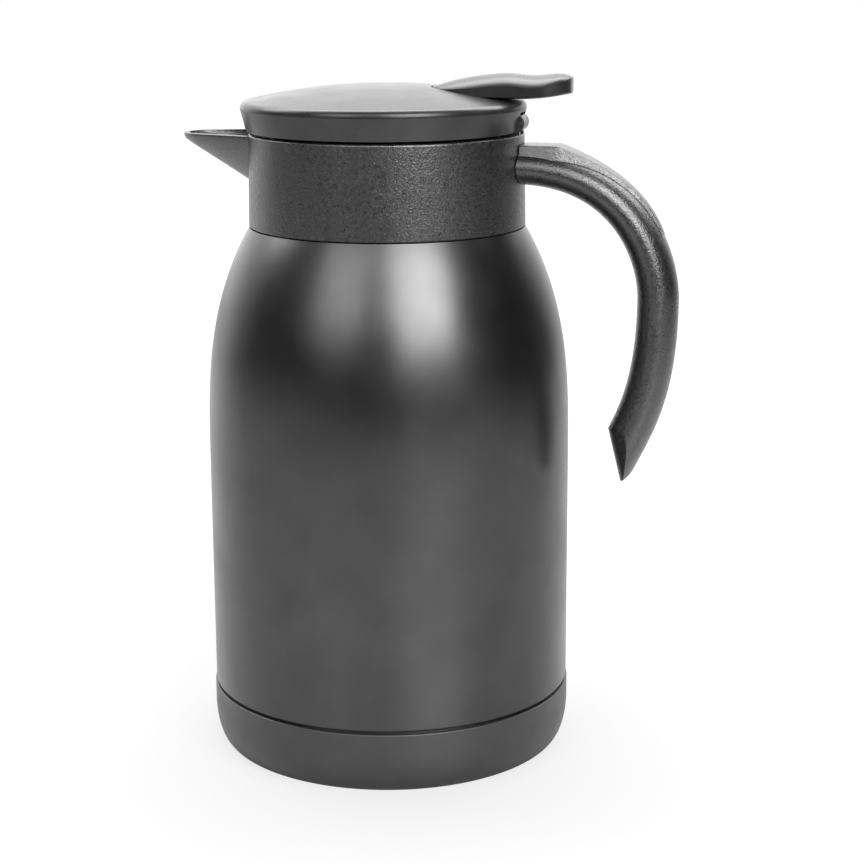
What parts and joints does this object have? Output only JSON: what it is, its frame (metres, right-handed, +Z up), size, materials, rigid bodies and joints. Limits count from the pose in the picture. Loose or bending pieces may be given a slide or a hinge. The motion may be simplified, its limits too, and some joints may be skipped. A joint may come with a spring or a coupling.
{
  "type": "thermal carafe",
  "caption": "Double-walled thermal carafe with a tapered shoulder, pointed pouring beak, open hook handle and a hinged lid that a thumb lever lifts together with its stopper.",
  "frame": {"origin": "centre of the flat foot that the carafe stands on", "axes": "+Z up along the body's axis, +X towards the handle, the beak points along -X, and the hinge axis lies along Y"},
  "size_m": [0.1779, 0.1308, 0.2431],
  "materials": {
    "body_paint": "satin charcoal paint on steel",
    "bare_steel": "bare stainless steel",
    "getter_metal": "dull sintered metal",
    "seal_glass": "opaque solder glass",
    "cup_plastic": "matte charcoal",
    "grained_plastic": "fine spark-grained charcoal",
    "lid_plastic": "smooth satin charcoal",
    "inner_plastic": "plain black",
    "silicone": "translucent grey silicone",
    "foam": "rigid foam"
  },
  "bodies": {
    "carafe": {"outer_shell": "body_paint", "shell_shoulder": "body_paint", "shell_base": "bare_steel", "inner_liner": "bare_steel", "liner_shoulder": "bare_steel", "liner_base": "bare_steel", "neck_ring": "bare_steel", "getter": "getter_metal", "vacuum_seal": "seal_glass", "base_cup": "cup_plastic", "spout_collar": "grained_plastic", "throat_ring": "inner_plastic", "neck_gasket": "silicone", "handle": "grained_plastic", "handle_screws": "bare_steel", "hinge_pin": "bare_steel"},
    "lid": {"lid_cover": "lid_plastic", "thumb_lever": "lid_plastic", "lever_screws": "bare_steel", "lid_plug": "inner_plastic", "plug_insulation": "foam", "plug_gasket": "silicone", "plug_cap": "inner_plastic", "plug_screws": "bare_steel"}
  },
  "joints": [
    {"name": "lid_hinge", "type": "hinge", "parent": "carafe", "child": "lid", "pos_m": [0.0448, 0, 0.2262], "axis": [0, 1, 0], "range_deg": [0, 48]}
  ]
}
